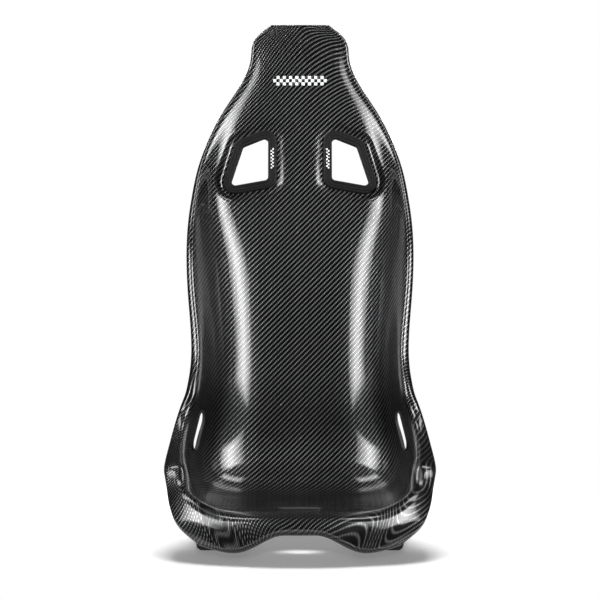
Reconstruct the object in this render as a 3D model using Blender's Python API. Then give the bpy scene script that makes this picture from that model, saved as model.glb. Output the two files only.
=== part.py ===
"""Fixed-back racing seat: a one-piece carbon-fibre bucket with its belt-hole
frames, slot trims, base runners and side-mount hardware.

Frame: metres, +Z up. The sitter faces -Y, so the sitter's left is at +X, and
the plane X = 0 is the seat's middle. The ground is Z = 0, and Y = 0 is halfway
between the front lip and the crown.
"""

import math

import bmesh
import bpy
import numpy as np
from mathutils import Matrix, Vector
from mathutils.bvhtree import BVHTree

MM = 0.001
GAP = 0.3 * MM               # clearance between touching pieces
SIDES = (("left", 1), ("right", -1))
CUT_REACH = 25 * MM          # half the length of a cutter through the laminate

# Shell --------------------------------------------------------------------
WALL = 3.0 * MM              # laminate thickness
# Each station is a cross-section of the sitting face, in millimetres and
# degrees: the middle's y and z; the half width, rise and tilt of the rim; how
# far the rim is swept back; the half width of the flat middle; the bolster's
# foot, crest and shoulder, each as (across, rise); the rolled edge's radius;
# and the number of grid rows up to the next station.
STATIONS = (
    (-275, 62, 168, -29, 90, 30, 44, (96, -37), (128, -36), (152, -32), 16, 1),
    (-267, 74, 194, -22, 90, 36, 64, (122, -17), (152, -15), (178, -19), 16, 2),
    (-243, 80, 213, -4, 86, 34, 84, (136, 0), (172, 12), (198, 8), 17, 2),
    (-190, 76, 223, 28, 80, 20, 98, (166, 0), (188, 46), (210, 42), 20, 2),
    (-110, 67, 227, 84, 63, 0, 108, (186, 4), (188, 94), (209, 92), 26, 3),
    (-20, 62, 226, 128, 57, 0, 108, (193, 16), (194, 134), (209, 136), 26, 3),
    (58, 76, 214, 168, 56, 0, 108, (190, 30), (191, 160), (201, 174), 24, 3),
    (101, 128, 199, 172, 44, 0, 108, (178, 44), (181, 158), (188, 174), 20, 2),
    (123, 210, 189, 149, 28, 0, 102, (164, 50), (175, 130), (182, 149), 16, 2),
    (143, 300, 182, 125, 16, 0, 98, (154, 46), (173, 106), (179, 124), 14, 2),
    (165, 400, 192, 113, 13, 0, 98, (154, 40), (179, 94), (188, 112), 11, 2),
    (189, 500, 197, 97, 13, 0, 104, (160, 30), (185, 80), (194, 96), 10, 2),
    (211, 590, 193, 64, 12, 0, 118, (166, 16), (184, 52), (191, 64), 10, 4),
    (225, 650, 185, 37, 11, 0, 120, (156, 8), (174, 28), (182, 37), 10, 4),
    (237, 705, 168, 22, 10, 0, 108, (138, 4), (154, 15), (164, 22), 9, 2),
    (249, 765, 139, 14, 9, 0, 88, (108, 3), (124, 9), (134, 14), 8, 2),
    (258, 820, 105, 9, 8, 0, 62, (80, 2), (92, 6), (100, 9), 7, 2),
    (264, 870, 88, 6, 7, 0, 52, (66, 1), (78, 4), (85, 6), 6, 2),
    (267, 906, 79, 3, 6, 0, 42, (56, 1), (68, 2), (74, 3), 6, 2),
    (269, 928, 53, 1, 5, 0, 26, (34, 0), (42, 0), (48, 1), 6, 0),
)
SPAN_COLUMNS = (5, 3, 4, 2)  # grid columns in each span of a section's curve
HALF_COLUMNS = sum(SPAN_COLUMNS)
CREASE_RADIUS = 5.0 * MM     # bend between the sitting face and the rolled edge
CREASE_TURN = math.radians(40)
ROLL_TURN = math.radians(92)
CREASE_STEPS = 2
ROLL_STEPS = 3
RIM_BLEND = 12 * MM          # how far the rim's direction is averaged along it

# Shoulder-belt holes, in a plane that leans back with the seat -------------
BELT_CENTRE = (95.5 * MM, 232.6 * MM, 668.0 * MM)    # on the left pocket's floor
BELT_RECLINE = math.radians(11.5)
POCKET_FLAT = 10.0 * MM      # flat floor left round the frame
POCKET_WALL = 12.0 * MM      # width of the pocket's rounded wall
POCKET_REACH = 40 * MM       # the pocket acts on no point further off its plane
REFINE_BAND = (-16 * MM, 24 * MM)    # finer grid, from inside to outside the frame
# Corners of the hole about its middle, towards the seat's side and up.
HOLE_CORNERS = ((-35, 51), (-35, -32), (37, -45), (12, 32))
HOLE_RADIUS = 7 * MM
FRAME_BAND = 16.5 * MM
FRAME_HEIGHT = 5.0 * MM
FRAME_INNER_EDGE = 1.5 * MM  # bevel round the hole
FRAME_OUTER_EDGE = (3.0 * MM, 2.5 * MM)      # width and depth of the outer bevel
COLLAR_WALL = 2.0 * MM
COLLAR_DEPTH = WALL + 3.5 * MM
RING_BAND = 12.5 * MM
RING_THICK = 2.4 * MM
RING_EDGE = 0.8 * MM
CORNER_STEPS = 3

# Lap-belt and crotch-belt slots -------------------------------------------
LAP_MIDDLE = (184.0 * MM, 15 * MM, 186 * MM)
LAP_FLARE = math.radians(16)     # the side wall opens towards the front
LAP_RISE = math.radians(5.6)     # and faces up a little on its outer side
LAP_SLANT = math.radians(62)     # the slot climbs towards the back
LAP_LENGTH = 74 * MM
LAP_WIDTH = 34 * MM
CROTCH_MIDDLE = (0.0, -135 * MM, 69.6 * MM)
CROTCH_DIP = math.radians(-6.0)
CROTCH_LENGTH = 64 * MM
CROTCH_WIDTH = 28 * MM
TRIM_WALL = 1.8 * MM
TRIM_PROUD = 1.0 * MM        # how far a slot's collar stands clear of the laminate
TRIM_LIP = 6.0 * MM
LIP_LIFT = 0.9 * MM          # the lip stands this far above the slot's plane

# Base ---------------------------------------------------------------------
RUNNER_INNER = 84 * MM
RUNNER_OUTER = 177 * MM
RUNNER_FRONT = -157 * MM
RUNNER_REAR = 101 * MM
RUNNER_TOP = 96 * MM         # a runner's height under the pan, at most
RUNNER_TAIL = 44 * MM        # and at its rear end, to which it tapers
RUNNER_TAPER = 72 * MM       # length of that taper
RUNNER_BED = 0.8 * MM        # adhesive between a runner and the laminate
RUNNER_EDGE = 13 * MM        # rounding of the bottom edges
RUNNER_STEPS = (7, 10)
BELOW_SEAT = -0.1            # height from which rays look up for the laminate
STRIP_THICK = 3 * MM
STRIP_HEIGHT = (17 * MM, 41 * MM)
STRIP_END = 14 * MM          # from the strip's end to the runner's end
STRIP_CORNER = 6 * MM
BUSH_Y = (-127 * MM, 71 * MM)
BUSH_Z = 29 * MM
BUSH_RADIUS = 8 * MM
BUSH_LENGTH = 18 * MM
BUSH_BORE = 3.4 * MM         # an M8 thread's minor radius
BUSH_EDGE = 0.6 * MM
ROUND_SIDES = 12

# Fasteners and plate --------------------------------------------------------
SCREW_HEAD = (3.0 * MM, 1.8 * MM)
SCREW_SHANK = 1.45 * MM
SCREW_RIM = 0.6              # height of the head's rim, as a share of the head's
SCREW_CROWN = 0.8            # radius of its flat top, and of its drive recess
SCREW_RECESS = 0.4
SCREW_REACH = 7.2 * MM
SCREW_INSET = 8.0 * MM       # screws stand this far outside the hole
PLATE_SIZE = (64 * MM, 30 * MM, 1.0 * MM)
PLATE_CORNER = 3 * MM
PLATE_LIFT = 1.2 * MM        # adhesive pad under the plate
PLATE_Z = 0.800
BEHIND_SEAT = 0.3            # a place behind the back, to look for it from


def clear_scene():
    """Remove what the file held before."""
    for item in list(bpy.data.objects):
        bpy.data.objects.remove(item, do_unlink=True)


# ---------------------------------------------------------------- materials

def material(name, colour, roughness, metallic, coat=0.0):
    """A Principled material."""
    made = bpy.data.materials.new(name)
    made.use_nodes = True
    shader = made.node_tree.nodes["Principled BSDF"]
    shader.inputs["Base Color"].default_value = (*colour, 1.0)
    shader.inputs["Roughness"].default_value = roughness
    shader.inputs["Metallic"].default_value = metallic
    shader.inputs["Coat Weight"].default_value = coat
    return made


def carbon_material():
    return material("carbon_laminate", (0.035, 0.036, 0.038), 0.32, 0.2, coat=1.0)


def plastic_material():
    return material("moulded_plastic", (0.045, 0.046, 0.048), 0.45, 0.0)


def rubber_material():
    return material("trim_rubber", (0.02, 0.02, 0.02), 0.7, 0.0)


def base_material():
    return material("base_composite", (0.018, 0.018, 0.019), 0.5, 0.0)


def steel_material():
    return material("zinc_steel", (0.6, 0.6, 0.58), 0.35, 1.0)


def screw_material():
    return material("black_steel", (0.03, 0.03, 0.032), 0.4, 0.8)


def aluminium_material():
    return material("anodised_aluminium", (0.55, 0.56, 0.58), 0.38, 1.0)


# ------------------------------------------------------------ mesh helpers

def new_object(name, bm, finish, smooth_angle=35):
    """Turn a bmesh into a named object, shaded smooth below the angle."""
    mesh = bpy.data.meshes.new(name)
    bm.to_mesh(mesh)
    bm.free()
    mesh.shade_smooth()
    mesh.set_sharp_from_angle(angle=math.radians(smooth_angle))
    made = bpy.data.objects.new(name, mesh)
    bpy.context.scene.collection.objects.link(made)
    if finish is not None:
        mesh.materials.append(finish)
    return made


def basis(origin, across, up, side):
    """A matrix whose columns are across, up and out, mirrored for side -1."""
    across = Vector(across).normalized()
    up = Vector(up).normalized()
    out = across.cross(up)
    columns = [across, up, out, Vector(origin)]
    rows = [[column[i] for column in columns] for i in range(3)]
    rows[0] = [side * value for value in rows[0]]
    return Matrix((*rows, (0, 0, 0, 1)))


def closed_rings(bm, rings, place, join_ends):
    """Bridge rings of equal length; join the ends or close them with faces."""
    loops = [[bm.verts.new(place @ Vector(point)) for point in ring] for ring in rings]
    count = len(loops[0])
    pairs = list(zip(loops, loops[1:]))
    if join_ends:
        pairs.append((loops[-1], loops[0]))
    faces = []
    for low, high in pairs:
        for i in range(count):
            j = (i + 1) % count
            faces.append(bm.faces.new((low[i], low[j], high[j], high[i])))
    if not join_ends:
        faces.append(bm.faces.new(loops[0]))
        faces.append(bm.faces.new(loops[-1]))
    bmesh.ops.recalc_face_normals(bm, faces=faces)


def rounded_outline(corners, radius, offset, steps):
    """Outline of a convex polygon with round corners, grown by offset."""
    points = []
    count = len(corners)
    for k in range(count):
        here = Vector(corners[k])
        before = (Vector(corners[k - 1]) - here).normalized()
        after = (Vector(corners[(k + 1) % count]) - here).normalized()
        half = before.angle(after) / 2
        middle = here + (before + after).normalized() * radius / math.sin(half)
        start = math.atan2(before.x, -before.y)
        turn = math.pi - 2 * half
        for step in range(steps + 1):
            angle = start + turn * step / steps
            reach = radius + offset
            points.append(middle + reach * Vector((math.cos(angle), math.sin(angle))))
    return points


def belt_outline(offset):
    """The shoulder-belt hole's outline, grown by offset."""
    corners = [(x * MM, y * MM) for x, y in HOLE_CORNERS]
    return rounded_outline(corners, HOLE_RADIUS, offset, CORNER_STEPS)


def slot_outline(length, width, offset):
    """A slot with round ends, grown by offset."""
    a, b = length / 2, width / 2
    corners = ((-a, b), (-a, -b), (a, -b), (a, b))
    return rounded_outline(corners, b * 0.98, offset, CORNER_STEPS)


def circle(radius):
    """A circle's points."""
    turns = [2 * math.pi * i / ROUND_SIDES for i in range(ROUND_SIDES)]
    return [(radius * math.cos(turn), radius * math.sin(turn)) for turn in turns]


def at_height(outline, height):
    """Lift a flat outline to a height."""
    return [(x, y, height) for x, y in outline]


def add_prism(bm, outline, place, low, high):
    """Add a closed prism to a bmesh."""
    closed_rings(bm, [at_height(outline, low), at_height(outline, high)], place, False)


# -------------------------------------------------------------------- shell

def natural_spline(knots, values):
    """A natural cubic spline through rows of values."""
    count = len(knots)
    step = np.diff(knots)
    system = np.zeros((count, count))
    right = np.zeros_like(values)
    system[0, 0] = 1.0
    system[-1, -1] = 1.0
    for i in range(1, count - 1):
        system[i, i - 1] = step[i - 1]
        system[i, i] = 2 * (step[i - 1] + step[i])
        system[i, i + 1] = step[i]
        slope_after = (values[i + 1] - values[i]) / step[i]
        slope_before = (values[i] - values[i - 1]) / step[i - 1]
        right[i] = 6 * (slope_after - slope_before)
    bend = np.linalg.solve(system, right)

    def value(at):
        i = int(np.clip(np.searchsorted(knots, at) - 1, 0, count - 2))
        length = step[i]
        a = at - knots[i]
        b = knots[i + 1] - at
        curve = (bend[i] * b ** 3 + bend[i + 1] * a ** 3) / (6 * length)
        start = (values[i] / length - bend[i] * length / 6) * b
        end = (values[i + 1] / length - bend[i + 1] * length / 6) * a
        return curve + start + end

    return value


def bspline_weights(controls, at):
    """Weights of a clamped cubic B-spline's control points at some places."""
    spans = controls - 3
    samples = len(at)
    knots = np.concatenate(([0.0] * 3, np.arange(spans + 1), [spans] * 3))
    at = np.minimum(at, spans - 1e-9)
    weights = (at[:, None] >= knots[:-1]) & (at[:, None] < knots[1:])
    weights = weights.astype(float)
    for degree in range(1, 4):
        raised = np.zeros((samples, weights.shape[1] - 1))
        for j in range(raised.shape[1]):
            rise = knots[j + degree] - knots[j]
            fall = knots[j + degree + 1] - knots[j + 1]
            if rise > 0:
                raised[:, j] += (at - knots[j]) / rise * weights[:, j]
            if fall > 0:
                raised[:, j] += (knots[j + degree + 1] - at) / fall * weights[:, j + 1]
        weights = raised
    return weights


def column_places():
    """Places of the grid's columns along a section's curve."""
    places = [0.0]
    for span, count in enumerate(SPAN_COLUMNS):
        places.extend(span + np.arange(1, count + 1) / count)
    return np.array(places)


def station_table():
    """The stations as a table of numbers, and their places along the middle."""
    table = []
    for y, z, half, rise, tilt, sweep, flat, foot, crest, shoulder, roll, _ in STATIONS:
        table.append((y, z, half, rise, tilt, sweep, flat, *foot, *crest, *shoulder, roll))
    table = np.array(table, float)
    steps = np.hypot(*np.diff(table[:, :2], axis=0).T)
    return table, np.concatenate(([0.0], np.cumsum(steps)))


def sitting_face():
    """Grid of points of the sitting face, and the roll radius of each row."""
    table, places = station_table()
    section_at = natural_spline(places, table)
    rows = []
    for start, end, station in zip(places, places[1:], STATIONS):
        rows.extend(np.linspace(start, end, station[-1], endpoint=False))
    rows.append(places[-1])
    weights = bspline_weights(7, column_places())
    grid = np.zeros((len(rows), 2 * HALF_COLUMNS + 1, 3))
    rolls = np.zeros(len(rows))
    for i, place in enumerate(rows):
        section = section_at(place)
        y, z, half, rise, tilt, sweep, flat = section[:7]
        controls = np.array(((0, 0), (flat / 2, 0), (flat, 0), section[7:9],
                             section[9:11], section[11:13], (half, rise)))
        across, up = (weights @ controls).T
        lean = math.radians(tilt)
        back = y - up * math.cos(lean) + sweep * (across / half) ** 3
        points = np.stack((across, back, z + up * math.sin(lean)), axis=1) * MM
        grid[i, HALF_COLUMNS:] = points
        grid[i, :HALF_COLUMNS] = points[:0:-1] * (-1, 1, 1)
        rolls[i] = section[13] * MM
    return grid, rolls


def belt_frame_matrix(side):
    """Plane of a belt pocket's floor: across, up the back, towards the sitter."""
    up = (0, math.sin(BELT_RECLINE), math.cos(BELT_RECLINE))
    return basis(BELT_CENTRE, (1, 0, 0), up, side)


def outline_distance(points, outline):
    """Signed distance of flat points to a closed counter-clockwise outline."""
    nearest = np.full(len(points), 1e9)
    inside = np.ones(len(points), bool)
    count = len(outline)
    for k in range(count):
        a = np.array(outline[k])
        b = np.array(outline[(k + 1) % count])
        edge = b - a
        reach = points - a
        share = np.clip(reach @ edge / (edge @ edge), 0, 1)
        gap = np.linalg.norm(reach - share[:, None] * edge, axis=1)
        nearest = np.minimum(nearest, gap)
        inside &= edge[0] * reach[:, 1] - edge[1] * reach[:, 0] >= 0
    return np.where(inside, -nearest, nearest)


def pocket_places(points, side):
    """Points in a belt pocket's own frame, and their distance from its frame."""
    place = np.array(belt_frame_matrix(side))
    local = (points - place[:3, 3]) @ place[:3, :3]
    away = outline_distance(local[:, :2], belt_outline(FRAME_BAND))
    away[np.abs(local[:, 2]) > POCKET_REACH] = 1.0
    return place, local, away


def refine_pockets(bm):
    """Halve the grid's edges in a band round each belt frame's outline."""
    edges = list(bm.edges)
    middles = np.array([(edge.verts[0].co + edge.verts[1].co) / 2 for edge in edges])
    chosen = set()
    for _, side in SIDES:
        away = pocket_places(middles, side)[2]
        near = (away > REFINE_BAND[0]) & (away < REFINE_BAND[1])
        chosen.update(np.nonzero(near)[0])
    picked = [edges[i] for i in sorted(chosen)]
    bmesh.ops.subdivide_edges(bm, edges=picked, cuts=1, use_grid_fill=True)


def press_pockets(bm):
    """Press a flat-floored pocket into the face round each belt hole."""
    points = np.array([vert.co for vert in bm.verts])
    for _, side in SIDES:
        place, local, away = pocket_places(points, side)
        share = np.clip(1 - (away - POCKET_FLAT) / POCKET_WALL, 0, 1)
        share = share * share * (3 - 2 * share)
        points = points - (share * local[:, 2])[:, None] * place[:3, 2]
    for vert, point in zip(bm.verts, points):
        vert.co = point


def grid_normals(grid):
    """Unit normals of a grid of points, towards the sitter."""
    along = np.gradient(grid, axis=0)
    across = np.gradient(grid, axis=1)
    normals = np.cross(across, along)
    return normals / np.linalg.norm(normals, axis=2, keepdims=True)


def rim_order(rows, columns):
    """Grid places of the rim, counter-clockwise as the sitter's side sees it."""
    front = [(0, j) for j in range(columns)]
    right = [(i, columns - 1) for i in range(1, rows)]
    top = [(rows - 1, j) for j in range(columns - 2, -1, -1)]
    left = [(i, 0) for i in range(rows - 2, 0, -1)]
    return front + right + top + left


def rolled_edge(grid, rolls):
    """Rings of points that carry the face's rim round its rolled edge."""
    order = rim_order(*grid.shape[:2])
    rim = np.array([grid[place] for place in order])
    normals = grid_normals(grid)
    normal = np.array([normals[place] for place in order])
    radius = np.array([rolls[place[0]] for place in order])
    length = np.linalg.norm(np.roll(rim, -1, axis=0) - rim, axis=1)
    place = np.concatenate(([0.0], np.cumsum(length)))
    apart = np.abs(place[:-1, None] - place[None, :-1])
    apart = np.minimum(apart, place[-1] - apart)
    blend = np.exp(-0.5 * (apart / RIM_BLEND) ** 2) * (length + np.roll(length, 1))
    blend /= blend.sum(axis=1, keepdims=True)
    along = np.roll(rim, -1, axis=0) - np.roll(rim, 1, axis=0)
    along /= np.linalg.norm(along, axis=1, keepdims=True)
    normal = blend @ normal
    normal /= np.linalg.norm(normal, axis=1, keepdims=True)
    outward = blend @ np.cross(along, normal)
    outward -= (outward * normal).sum(axis=1, keepdims=True) * normal
    outward /= np.linalg.norm(outward, axis=1, keepdims=True)
    turns = [CREASE_TURN * k / CREASE_STEPS for k in range(1, CREASE_STEPS + 1)]
    reach = [np.full(len(rim), CREASE_RADIUS * math.sin(turn)) for turn in turns]
    depth = [np.full(len(rim), CREASE_RADIUS * (1 - math.cos(turn))) for turn in turns]
    for k in range(1, ROLL_STEPS + 1):
        turn = CREASE_TURN + (ROLL_TURN - CREASE_TURN) * k / ROLL_STEPS
        reach.append(reach[CREASE_STEPS - 1] + radius * (math.sin(turn) - math.sin(CREASE_TURN)))
        depth.append(depth[CREASE_STEPS - 1] + radius * (math.cos(CREASE_TURN) - math.cos(turn)))
    return [rim + out[:, None] * outward - back[:, None] * normal
            for out, back in zip(reach, depth)]


def shell_mesh():
    """The sitting face with its rolled edge, one sheet of faces."""
    grid, rolls = sitting_face()
    rings = rolled_edge(grid, rolls)
    rows, columns = grid.shape[:2]
    bm = bmesh.new()
    verts = [[bm.verts.new(point) for point in row] for row in grid]
    for i in range(rows - 1):
        for j in range(columns - 1):
            bm.faces.new((verts[i][j], verts[i][j + 1], verts[i + 1][j + 1], verts[i + 1][j]))
    inner = [verts[i][j] for i, j in rim_order(rows, columns)]
    for ring in rings:
        outer = [bm.verts.new(point) for point in ring]
        for k in range(len(inner)):
            following = (k + 1) % len(inner)
            bm.faces.new((inner[k], outer[k], outer[following], inner[following]))
        inner = outer
    refine_pockets(bm)
    press_pockets(bm)
    return bm


def lap_matrix(side):
    """Plane of a lap slot: along it, across it, and out of the seat's side."""
    rearward = Vector((-math.sin(LAP_FLARE), math.cos(LAP_FLARE), 0))
    sideways = Vector((math.cos(LAP_FLARE), math.sin(LAP_FLARE), 0))
    upward = Vector((0, 0, 1))
    out = math.cos(LAP_RISE) * sideways + math.sin(LAP_RISE) * upward
    climb = math.cos(LAP_RISE) * upward - math.sin(LAP_RISE) * sideways
    along = math.cos(LAP_SLANT) * rearward + math.sin(LAP_SLANT) * climb
    return basis(LAP_MIDDLE, along, out.cross(along), side)


def crotch_matrix():
    """Plane of the crotch slot: along X, rearward, up out of the pan."""
    rearward = (0, math.cos(CROTCH_DIP), math.sin(CROTCH_DIP))
    return basis(CROTCH_MIDDLE, (1, 0, 0), rearward, 1)


def screw_places():
    """Flat places of the four screws round a belt hole."""
    outline = belt_outline(SCREW_INSET)
    corner = CORNER_STEPS + 1
    return [outline[k * corner + corner // 2] for k in range(4)]


def shell_cutter():
    """Everything that is cut through the laminate, as one hidden guide."""
    bm = bmesh.new()
    for _, side in SIDES:
        belt = belt_frame_matrix(side)
        add_prism(bm, belt_outline(COLLAR_WALL + GAP), belt, -CUT_REACH, CUT_REACH)
        for x, y in screw_places():
            bore = [(x + a, y + b) for a, b in circle(SCREW_SHANK + GAP)]
            add_prism(bm, bore, belt, -2 * WALL, WALL)
        lap = lap_matrix(side)
        add_prism(bm, slot_outline(LAP_LENGTH, LAP_WIDTH, GAP), lap, -CUT_REACH, CUT_REACH)
    crotch = crotch_matrix()
    outline = slot_outline(CROTCH_LENGTH, CROTCH_WIDTH, GAP)
    add_prism(bm, outline, crotch, -CUT_REACH, CUT_REACH)
    return hide_cutter(new_object("cutter_shell", bm, None))


def hide_cutter(guide):
    """Mark an object as a guide that is not part of the seat."""
    guide.hide_render = True
    guide.display_type = "WIRE"
    return guide


def cut(target, cutter):
    """Subtract a guide from a piece."""
    boolean = target.modifiers.new("cut", "BOOLEAN")
    boolean.operation = "DIFFERENCE"
    boolean.solver = "EXACT"
    boolean.object = cutter


def make_shell(finish):
    """The one-piece laminate shell."""
    shell = new_object("seat_shell", shell_mesh(), finish, smooth_angle=50)
    solid = shell.modifiers.new("laminate", "SOLIDIFY")
    solid.thickness = WALL
    solid.offset = -1.0
    solid.use_even_offset = True
    solid.thickness_clamp = 0.0
    cut(shell, shell_cutter())
    return shell


# ------------------------------------------------------------ belt hardware

def make_belt_frame(label, side, finish):
    """Moulded frame on the sitting side, with a collar through the laminate."""
    edge_width, edge_depth = FRAME_OUTER_EDGE
    section = (
        (0.0, -COLLAR_DEPTH),
        (0.0, FRAME_HEIGHT - FRAME_INNER_EDGE),
        (FRAME_INNER_EDGE, FRAME_HEIGHT),
        (FRAME_BAND - edge_width, FRAME_HEIGHT),
        (FRAME_BAND, FRAME_HEIGHT - edge_depth),
        (FRAME_BAND, 2 * GAP),
        (COLLAR_WALL, 2 * GAP),
        (COLLAR_WALL, -COLLAR_DEPTH),
    )
    bm = bmesh.new()
    rings = [at_height(belt_outline(offset), height) for offset, height in section]
    closed_rings(bm, rings, belt_frame_matrix(side), True)
    return new_object(f"{label}_belt_frame", bm, finish)


def make_clamp_ring(label, side, finish):
    """Ring behind the laminate that the screws pull against."""
    top = -WALL - GAP
    low = top - RING_THICK
    inner = COLLAR_WALL + GAP
    section = ((inner, low), (inner, top), (RING_BAND, top), (RING_BAND, low + RING_EDGE),
               (RING_BAND - RING_EDGE, low))
    bm = bmesh.new()
    rings = [at_height(belt_outline(offset), height) for offset, height in section]
    closed_rings(bm, rings, belt_frame_matrix(side), True)
    return new_object(f"{label}_belt_clamp_ring", bm, finish)


def make_screws(label, side, finish):
    """Four pan-head screws from the back through ring and laminate."""
    head_radius, head_height = SCREW_HEAD
    seat = -WALL - RING_THICK - 2 * GAP
    place = belt_frame_matrix(side)
    screws = []
    for number, (x, y) in enumerate(screw_places(), start=1):
        profile = (
            (SCREW_SHANK, seat + SCREW_REACH),
            (SCREW_SHANK, seat),
            (head_radius, seat),
            (head_radius, seat - SCREW_RIM * head_height),
            (SCREW_CROWN * head_radius, seat - head_height),
            (SCREW_RECESS * head_radius, seat - head_height),
            (SCREW_RECESS * head_radius, seat - SCREW_RECESS * head_height),
        )
        rings = [[(x + a, y + b, height) for a, b in circle(radius)]
                 for radius, height in profile]
        bm = bmesh.new()
        closed_rings(bm, rings, place, False)
        screws.append(new_object(f"{label}_belt_screw_{number}", bm, finish))
    return screws


def screw_cutter(label, side):
    """Bores for one side's screws, as a hidden guide."""
    bm = bmesh.new()
    depth = SCREW_REACH - WALL - RING_THICK
    for x, y in screw_places():
        bore = [(x + a, y + b) for a, b in circle(SCREW_SHANK + GAP)]
        add_prism(bm, bore, belt_frame_matrix(side), -3 * WALL, depth + GAP)
    return hide_cutter(new_object(f"cutter_{label}_screws", bm, None))


def make_lap_trim(label, side, finish):
    """Collar that lines a lap-belt slot."""
    top = TRIM_PROUD
    low = -WALL - TRIM_PROUD
    section = ((-TRIM_WALL, low), (-TRIM_WALL, top), (0.0, top), (0.0, low))
    bm = bmesh.new()
    rings = [at_height(slot_outline(LAP_LENGTH, LAP_WIDTH, offset), height)
             for offset, height in section]
    closed_rings(bm, rings, lap_matrix(side), True)
    return new_object(f"{label}_lap_slot_trim", bm, finish)


def make_crotch_trim(finish):
    """Collar with a lip on the pan that lines the crotch-belt slot."""
    section = (
        (-TRIM_WALL, -WALL - TRIM_PROUD),
        (-TRIM_WALL, LIP_LIFT + TRIM_WALL),
        (TRIM_LIP, LIP_LIFT + TRIM_WALL),
        (TRIM_LIP, LIP_LIFT),
        (0.0, LIP_LIFT),
        (0.0, -WALL - TRIM_PROUD),
    )
    bm = bmesh.new()
    rings = [at_height(slot_outline(CROTCH_LENGTH, CROTCH_WIDTH, offset), height)
             for offset, height in section]
    closed_rings(bm, rings, crotch_matrix(), True)
    return new_object("crotch_slot_trim", bm, finish)


# --------------------------------------------------------------------- base

def runner_top(tree, x, y, reach_x, reach_y):
    """Height of a runner at a place: just under the lowest laminate near it."""
    tail = np.clip((y - RUNNER_REAR + RUNNER_TAPER) / RUNNER_TAPER, 0, 1)
    lowest = RUNNER_TOP + (RUNNER_TAIL - RUNNER_TOP) * tail
    for step_x in (-reach_x, 0, reach_x):
        for step_y in (-reach_y, 0, reach_y):
            start = Vector((x + step_x, y + step_y, BELOW_SEAT))
            hit = tree.ray_cast(start, Vector((0, 0, 1)))[0]
            if hit is not None:
                lowest = min(lowest, hit.z - RUNNER_BED)
    return lowest


def make_runner(label, side, shell_tree, finish):
    """Block under the pan that the seat stands on, fitted to the shell."""
    across, along = RUNNER_STEPS
    xs = np.linspace(RUNNER_INNER, RUNNER_OUTER, across + 1)
    ys = np.linspace(RUNNER_FRONT, RUNNER_REAR, along + 1)
    bm = bmesh.new()
    bottom = {}
    top = {}
    for i, x in enumerate(xs):
        for j, y in enumerate(ys):
            height = runner_top(shell_tree, x, y, xs[1] - xs[0], ys[1] - ys[0])
            top[i, j] = bm.verts.new((side * x, y, height))
            bottom[i, j] = bm.verts.new((side * x, y, 0.0))
    for i in range(across):
        for j in range(along):
            corners = ((i, j), (i + 1, j), (i + 1, j + 1), (i, j + 1))
            bm.faces.new([top[corner] for corner in corners])
    border = [(i, 0) for i in range(across)]
    border += [(across, j) for j in range(along)]
    border += [(i, along) for i in range(across, 0, -1)]
    border += [(0, j) for j in range(along, 0, -1)]
    for k, here in enumerate(border):
        following = border[(k + 1) % len(border)]
        bm.faces.new((bottom[here], bottom[following], top[following], top[here]))
    floor = bm.faces.new([bottom[place] for place in border])
    inner_points = [vert for place, vert in bottom.items() if place not in border]
    bmesh.ops.delete(bm, geom=inner_points, context="VERTS")
    bmesh.ops.recalc_face_normals(bm, faces=bm.faces)
    bmesh.ops.bevel(bm, geom=list(floor.edges), offset=RUNNER_EDGE, segments=3,
                    profile=0.5, affect="EDGES", clamp_overlap=True)
    return new_object(f"{label}_base_runner", bm, finish)


def bush_matrix(side, y):
    """Axis of a mount bush: its out direction points away from the seat."""
    face = (RUNNER_OUTER + GAP + STRIP_THICK, y, BUSH_Z)
    return basis(face, (0, 1, 0), (0, 0, 1), side)


def bush_cutter(label, side):
    """Bores for one side's bushes, as a hidden guide."""
    bm = bmesh.new()
    for y in BUSH_Y:
        outline = circle(BUSH_RADIUS + GAP)
        add_prism(bm, outline, bush_matrix(side, y), -BUSH_LENGTH - GAP, CUT_REACH)
    return hide_cutter(new_object(f"cutter_{label}_bushes", bm, None))


def make_bush(name, side, y, finish):
    """Threaded bush, open at both ends of its bore."""
    section = (
        (BUSH_BORE, -BUSH_LENGTH),
        (BUSH_BORE, -BUSH_EDGE),
        (BUSH_BORE + BUSH_EDGE, 0.0),
        (BUSH_RADIUS, 0.0),
        (BUSH_RADIUS, -BUSH_LENGTH),
    )
    bm = bmesh.new()
    rings = [at_height(circle(radius), height) for radius, height in section]
    closed_rings(bm, rings, bush_matrix(side, y), True)
    return new_object(name, bm, finish)


def make_strip(label, side, finish):
    """Flat metal strip on the runner's outer face, round both bushes."""
    low, high = STRIP_HEIGHT
    middle_y = (RUNNER_FRONT + RUNNER_REAR) / 2
    half_length = (RUNNER_REAR - RUNNER_FRONT) / 2 - STRIP_END
    half_height = (high - low) / 2
    corners = ((-half_length, half_height), (-half_length, -half_height),
               (half_length, -half_height), (half_length, half_height))
    outline = rounded_outline(corners, STRIP_CORNER, 0.0, CORNER_STEPS)
    origin = (RUNNER_OUTER + GAP, middle_y, (low + high) / 2)
    bm = bmesh.new()
    add_prism(bm, outline, basis(origin, (0, 1, 0), (0, 0, 1), side), 0.0, STRIP_THICK)
    return new_object(f"{label}_mount_strip", bm, finish)


# -------------------------------------------------------------------- plate

def make_plate(shell_tree, finish):
    """Blank approval plate on the back of the shell."""
    width, height, thick = PLATE_SIZE
    behind = Vector((0, BEHIND_SEAT, PLATE_Z))
    origin, out = shell_tree.find_nearest(behind)[:2]
    across = Vector((-1, 0, 0))
    corners = ((-width / 2, height / 2), (-width / 2, -height / 2),
               (width / 2, -height / 2), (width / 2, height / 2))
    outline = rounded_outline(corners, PLATE_CORNER, 0.0, CORNER_STEPS)
    place = basis(origin, across, out.cross(across), 1)
    bm = bmesh.new()
    add_prism(bm, outline, place, PLATE_LIFT, PLATE_LIFT + thick)
    return new_object("approval_plate", bm, finish)


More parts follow.
